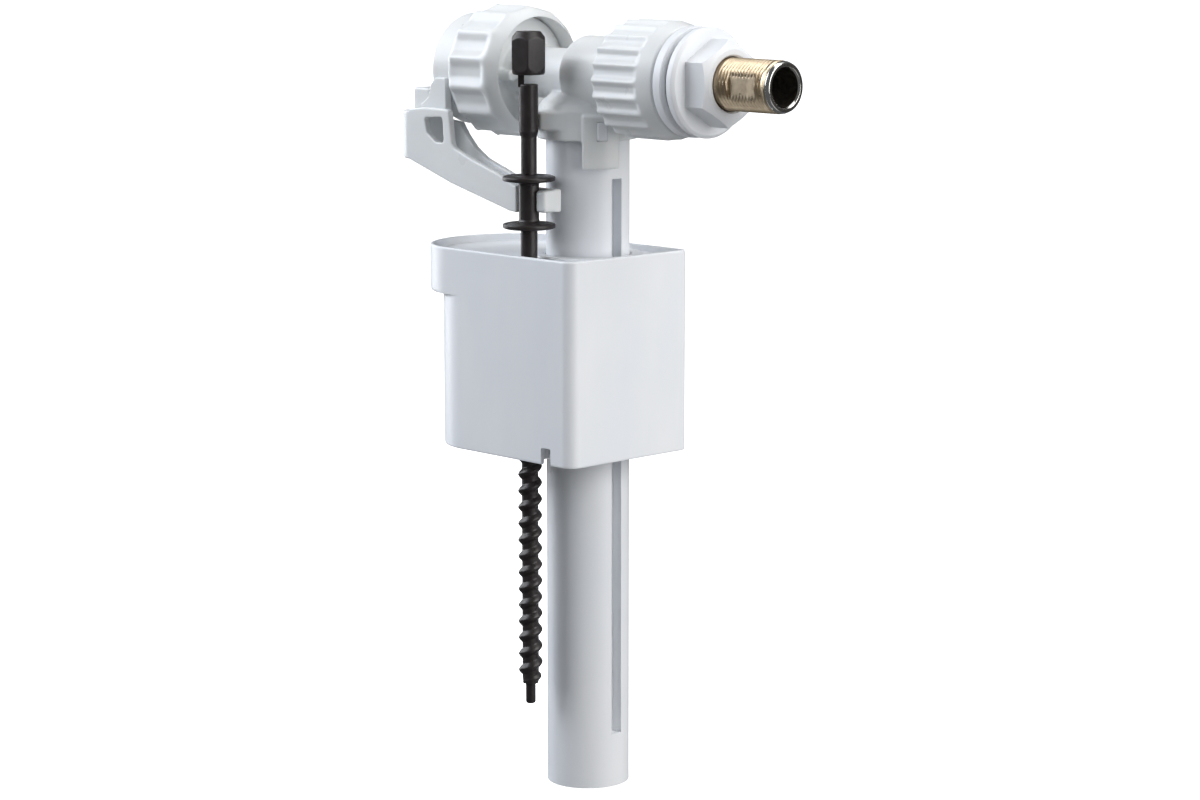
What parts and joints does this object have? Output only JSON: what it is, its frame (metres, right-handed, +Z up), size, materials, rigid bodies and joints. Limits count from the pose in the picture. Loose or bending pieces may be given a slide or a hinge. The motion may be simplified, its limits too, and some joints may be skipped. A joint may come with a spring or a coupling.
{
  "type": "toilet fill valve",
  "caption": "Side-inlet toilet fill valve: brass threaded inlet, ribbed union and diaphragm caps, lever, adjusting spindle, sliding cup float and standpipe.",
  "frame": {"origin": "on the inlet nipple's axis, in the plane of the flange that seats on the inside of the cistern wall", "axes": "+X out of the cistern along the inlet nipple, +Z up along the standpipe, and the adjusting spindle stands on the -Y side"},
  "size_m": [0.1581, 0.0561, 0.2588],
  "materials": {
    "white_plastic": "satin white moulded plastic",
    "milky_plastic": "translucent milky white moulded plastic",
    "dark_plastic": "black-brown moulded plastic, soft sheen",
    "rubber": "matt black rubber",
    "pale_rubber": "matt pale grey rubber",
    "brass": "pale machined brass",
    "steel": "drawn stainless wire"
  },
  "bodies": {
    "valve_body": {"standpipe": "white_plastic", "flow_breaker": "white_plastic", "valve_head": "milky_plastic", "pipe_seal": "rubber", "valve_seat": "white_plastic", "diaphragm_cap": "milky_plastic", "pilot_housing": "milky_plastic", "diaphragm": "rubber", "control_pin": "steel", "pilot_nozzle": "brass", "lever_pin": "white_plastic", "union_nut": "milky_plastic", "union_seal": "rubber", "inlet_connector": "white_plastic", "brass_nipple": "brass", "wall_gasket": "pale_rubber", "counter_nut": "white_plastic", "inlet_strainer": "white_plastic", "flow_restrictor": "white_plastic"},
    "spindle_collar": {"lever_collar": "dark_plastic"},
    "adjusting_spindle": {"spindle": "dark_plastic"},
    "float": {"float": "white_plastic", "float_guide": "white_plastic", "float_bush": "white_plastic"},
    "lever": {"lever": "milky_plastic", "pilot_seal": "rubber"},
    "diaphragm_plate": {"diaphragm_plate": "white_plastic"}
  },
  "joints": [
    {"name": "spindle_lift", "type": "slide", "parent": "valve_body", "child": "spindle_collar", "axis": [0, 0, 1], "range_m": [0, 0.006]},
    {"name": "spindle_turn", "type": "hinge", "parent": "spindle_collar", "child": "adjusting_spindle", "pos_m": [-0.0543, -0.023, 0], "axis": [0, 0, 1], "range_deg": [-361, 4322]},
    {"name": "float_adjust", "type": "slide", "parent": "spindle_collar", "child": "float", "axis": [0, 0, 1], "range_m": [-0.066, 0.0055]},
    {"name": "lever_tilt", "type": "hinge", "parent": "valve_body", "child": "lever", "pos_m": [-0.1113, 0, -0.02], "axis": [0, -1, 0], "range_deg": [0, 6.1]},
    {"name": "diaphragm_travel", "type": "slide", "parent": "valve_body", "child": "diaphragm_plate", "axis": [1, 0, 0], "range_m": [0, 0.00105]}
  ],
  "couplings": [
    {"joint": "spindle_turn", "follows": "float_adjust", "rad_per_m": -1142.4},
    {"joint": "lever_tilt", "follows": "spindle_lift", "rad_per_m": 17.544},
    {"joint": "diaphragm_travel", "follows": "spindle_lift", "ratio": 0.16667}
  ]
}
